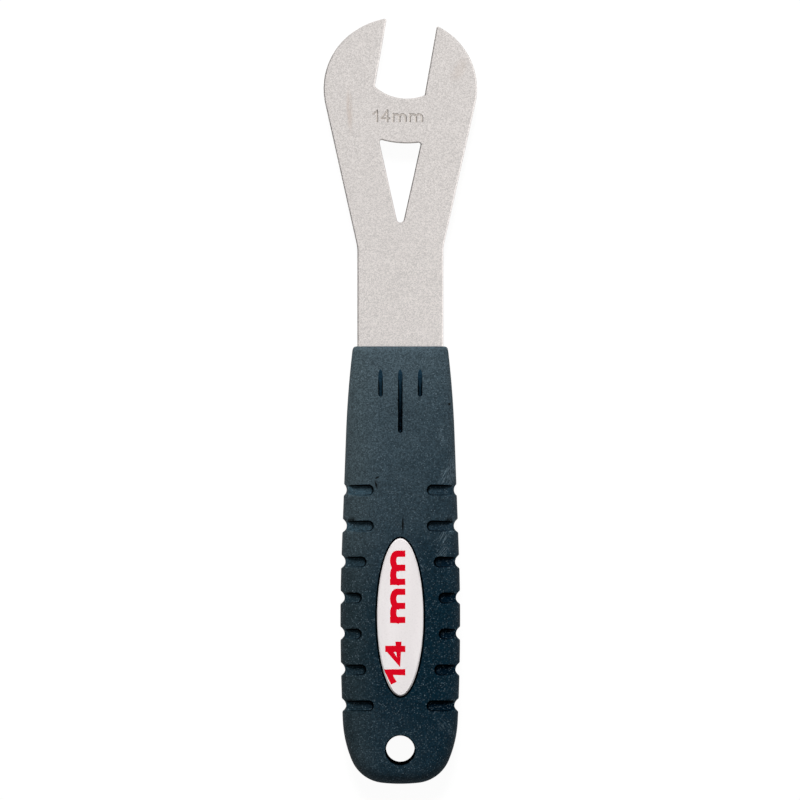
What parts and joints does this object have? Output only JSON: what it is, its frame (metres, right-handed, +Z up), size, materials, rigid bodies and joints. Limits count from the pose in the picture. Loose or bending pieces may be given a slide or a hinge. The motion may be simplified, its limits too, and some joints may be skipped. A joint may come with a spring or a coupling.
{
  "type": "cone wrench",
  "caption": "Thin steel cone wrench for bicycle hubs: an open jaw leaning to one side, a tapered window below it and a grooved rubber grip with an oval badge and a hang hole.",
  "frame": {"origin": "on the surface that the wrench lies on, under the middle of its bounding box", "axes": "+Y along the wrench from the grip's heel to the jaw, +Z up through the thickness with the badge uppermost, +X to the right, the way the jaw leans"},
  "size_m": [0.0428, 0.2134, 0.0106],
  "materials": {
    "steel": "bead-blasted satin, with a fine even grain",
    "rubber": "matt moulded rubber, dark slate blue",
    "badge_resin": "glossy domed resin, off-white"
  },
  "bodies": {
    "root": {"blade": "steel", "grip": "rubber", "badge": "badge_resin"}
  },
  "joints": []
}
